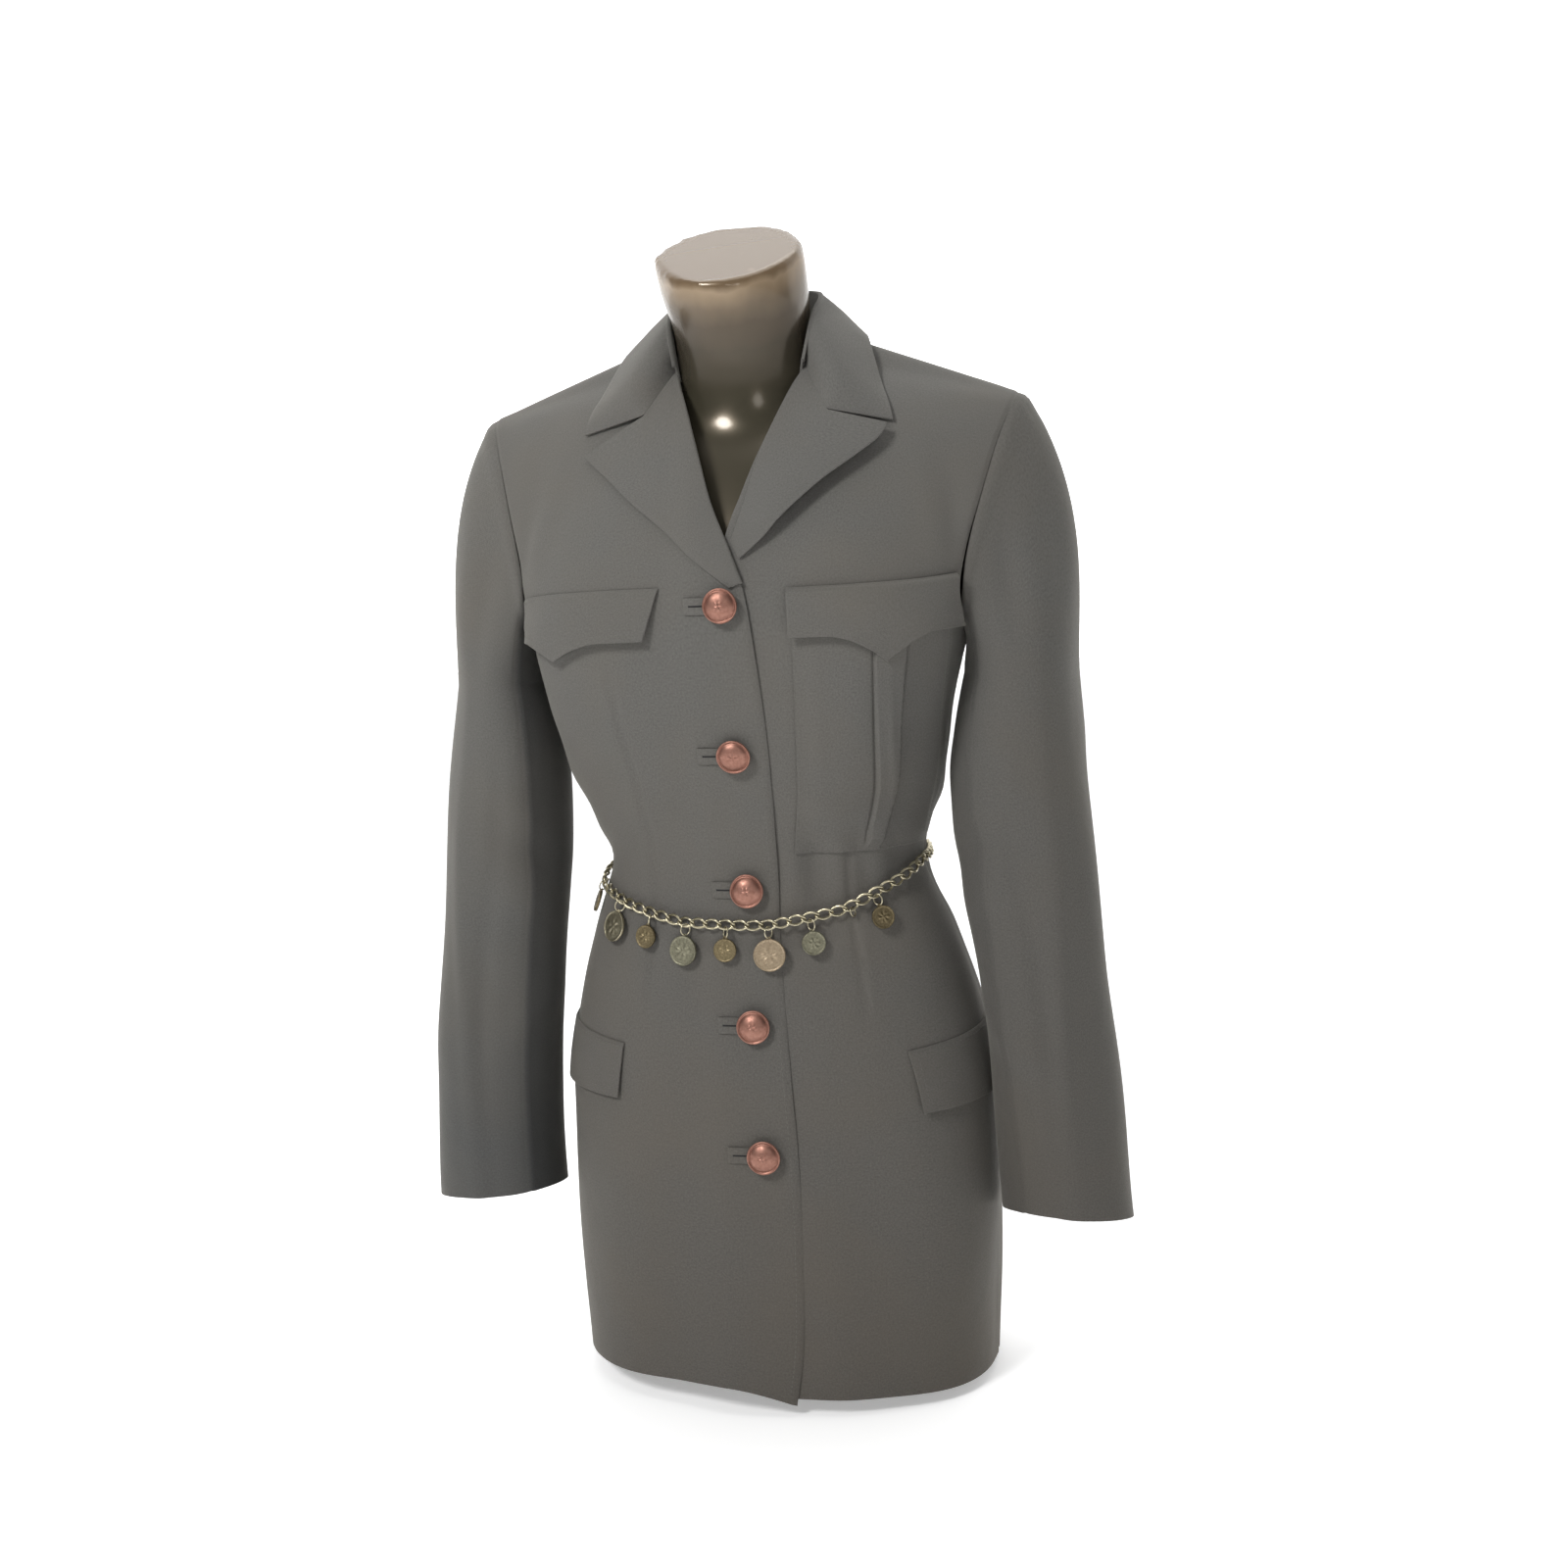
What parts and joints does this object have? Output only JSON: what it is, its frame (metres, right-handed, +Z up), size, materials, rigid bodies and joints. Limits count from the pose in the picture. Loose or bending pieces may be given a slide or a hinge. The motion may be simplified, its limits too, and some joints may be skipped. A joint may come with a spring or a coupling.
{
  "type": "military jacket dress on a torso dress form",
  "caption": "Short fitted jacket dress with notched lapels, two-piece sleeves, pocket flaps, buttoned front and a chain belt of hinged coin charms, shown on a limbless torso form.",
  "frame": {"origin": "centre of the form's flat foot, on the plane it stands on", "axes": "+Z up along the figure, front faces -Y, +X is the wearer's left"},
  "size_m": [0.542, 0.252, 0.8751],
  "materials": {
    "button_1": "satin copper",
    "button_2": "satin copper",
    "button_3": "satin copper",
    "button_4": "satin copper",
    "button_5": "satin copper",
    "buttonhole_1": "matt fine wool",
    "buttonhole_2": "matt fine wool",
    "buttonhole_3": "matt fine wool",
    "buttonhole_4": "matt fine wool",
    "buttonhole_5": "matt fine wool",
    "chain_belt": "worn pale gold",
    "charm_1": "aged bronze",
    "charm_2": "aged bronze",
    "charm_3": "aged bronze",
    "charm_4": "aged bronze",
    "charm_5": "aged bronze",
    "charm_6": "aged bronze",
    "charm_7": "aged bronze",
    "charm_8": "worn pale gold",
    "charm_9": "aged bronze",
    "collar_fall": "matt fine wool",
    "collar_stand": "matt fine wool",
    "left_back": "matt fine wool",
    "left_chest_flap": "matt fine wool",
    "left_chest_pocket": "matt fine wool",
    "left_front": "matt fine wool",
    "left_hip_flap": "matt fine wool",
    "left_lapel": "matt fine wool",
    "left_under_sleeve": "matt fine wool",
    "left_upper_sleeve": "matt fine wool",
    "right_back": "matt fine wool",
    "right_chest_flap": "matt fine wool",
    "right_front": "matt fine wool",
    "right_hip_flap": "matt fine wool",
    "right_lapel": "matt fine wool",
    "right_under_sleeve": "matt fine wool",
    "right_upper_sleeve": "matt fine wool",
    "torso_form": "glossy smoky"
  },
  "bodies": {
    "dress": {"button_1": "button_1", "button_2": "button_2", "button_3": "button_3", "button_4": "button_4", "button_5": "button_5", "buttonhole_1": "buttonhole_1", "buttonhole_2": "buttonhole_2", "buttonhole_3": "buttonhole_3", "buttonhole_4": "buttonhole_4", "buttonhole_5": "buttonhole_5", "chain_belt": "chain_belt", "collar_fall": "collar_fall", "collar_stand": "collar_stand", "left_back": "left_back", "left_chest_flap": "left_chest_flap", "left_chest_pocket": "left_chest_pocket", "left_front": "left_front", "left_hip_flap": "left_hip_flap", "left_lapel": "left_lapel", "left_under_sleeve": "left_under_sleeve", "left_upper_sleeve": "left_upper_sleeve", "right_back": "right_back", "right_chest_flap": "right_chest_flap", "right_front": "right_front", "right_hip_flap": "right_hip_flap", "right_lapel": "right_lapel", "right_under_sleeve": "right_under_sleeve", "right_upper_sleeve": "right_upper_sleeve", "torso_form": "torso_form"},
    "charm_1": {"charm_1": "charm_1"},
    "charm_2": {"charm_2": "charm_2"},
    "charm_3": {"charm_3": "charm_3"},
    "charm_4": {"charm_4": "charm_4"},
    "charm_5": {"charm_5": "charm_5"},
    "charm_6": {"charm_6": "charm_6"},
    "charm_7": {"charm_7": "charm_7"},
    "charm_8": {"charm_8": "charm_8"},
    "charm_9": {"charm_9": "charm_9"}
  },
  "joints": [
    {"name": "charm_1_swing", "type": "hinge", "parent": "dress", "child": "charm_1", "pos_m": [-0.12251, -0.05128, 0.38626], "axis": [-0.2835, 0.9469, 0.1518], "range_deg": [0, 60]},
    {"name": "charm_2_swing", "type": "hinge", "parent": "dress", "child": "charm_2", "pos_m": [-0.10735, -0.07787, 0.37911], "axis": [-0.6692, 0.7152, 0.2017], "range_deg": [0, 60]},
    {"name": "charm_3_swing", "type": "hinge", "parent": "dress", "child": "charm_3", "pos_m": [-0.0826, -0.09629, 0.37194], "axis": [-0.8728, 0.4534, 0.1808], "range_deg": [0, 60]},
    {"name": "charm_4_swing", "type": "hinge", "parent": "dress", "child": "charm_4", "pos_m": [-0.04356, -0.11048, 0.36423], "axis": [-0.9487, 0.3041, 0.0862], "range_deg": [0, 60]},
    {"name": "charm_5_swing", "type": "hinge", "parent": "dress", "child": "charm_5", "pos_m": [-0.01243, -0.11531, 0.36337], "axis": [-0.998, 0.0509, 0.0373], "range_deg": [0, 60]},
    {"name": "charm_6_swing", "type": "hinge", "parent": "dress", "child": "charm_6", "pos_m": [0.01915, -0.11539, 0.36334], "axis": [-0.9984, -0.0446, -0.0337], "range_deg": [0, 60]},
    {"name": "charm_7_swing", "type": "hinge", "parent": "dress", "child": "charm_7", "pos_m": [0.04978, -0.11055, 0.36815], "axis": [-0.9507, -0.2975, -0.0877], "range_deg": [0, 60]},
    {"name": "charm_8_swing", "type": "hinge", "parent": "dress", "child": "charm_8", "pos_m": [0.07875, -0.10066, 0.37493], "axis": [-0.9141, -0.3677, -0.1708], "range_deg": [0, 60]},
    {"name": "charm_9_swing", "type": "hinge", "parent": "dress", "child": "charm_9", "pos_m": [0.09556, -0.09115, 0.38289], "axis": [-0.8312, -0.5181, -0.2019], "range_deg": [0, 60]}
  ]
}
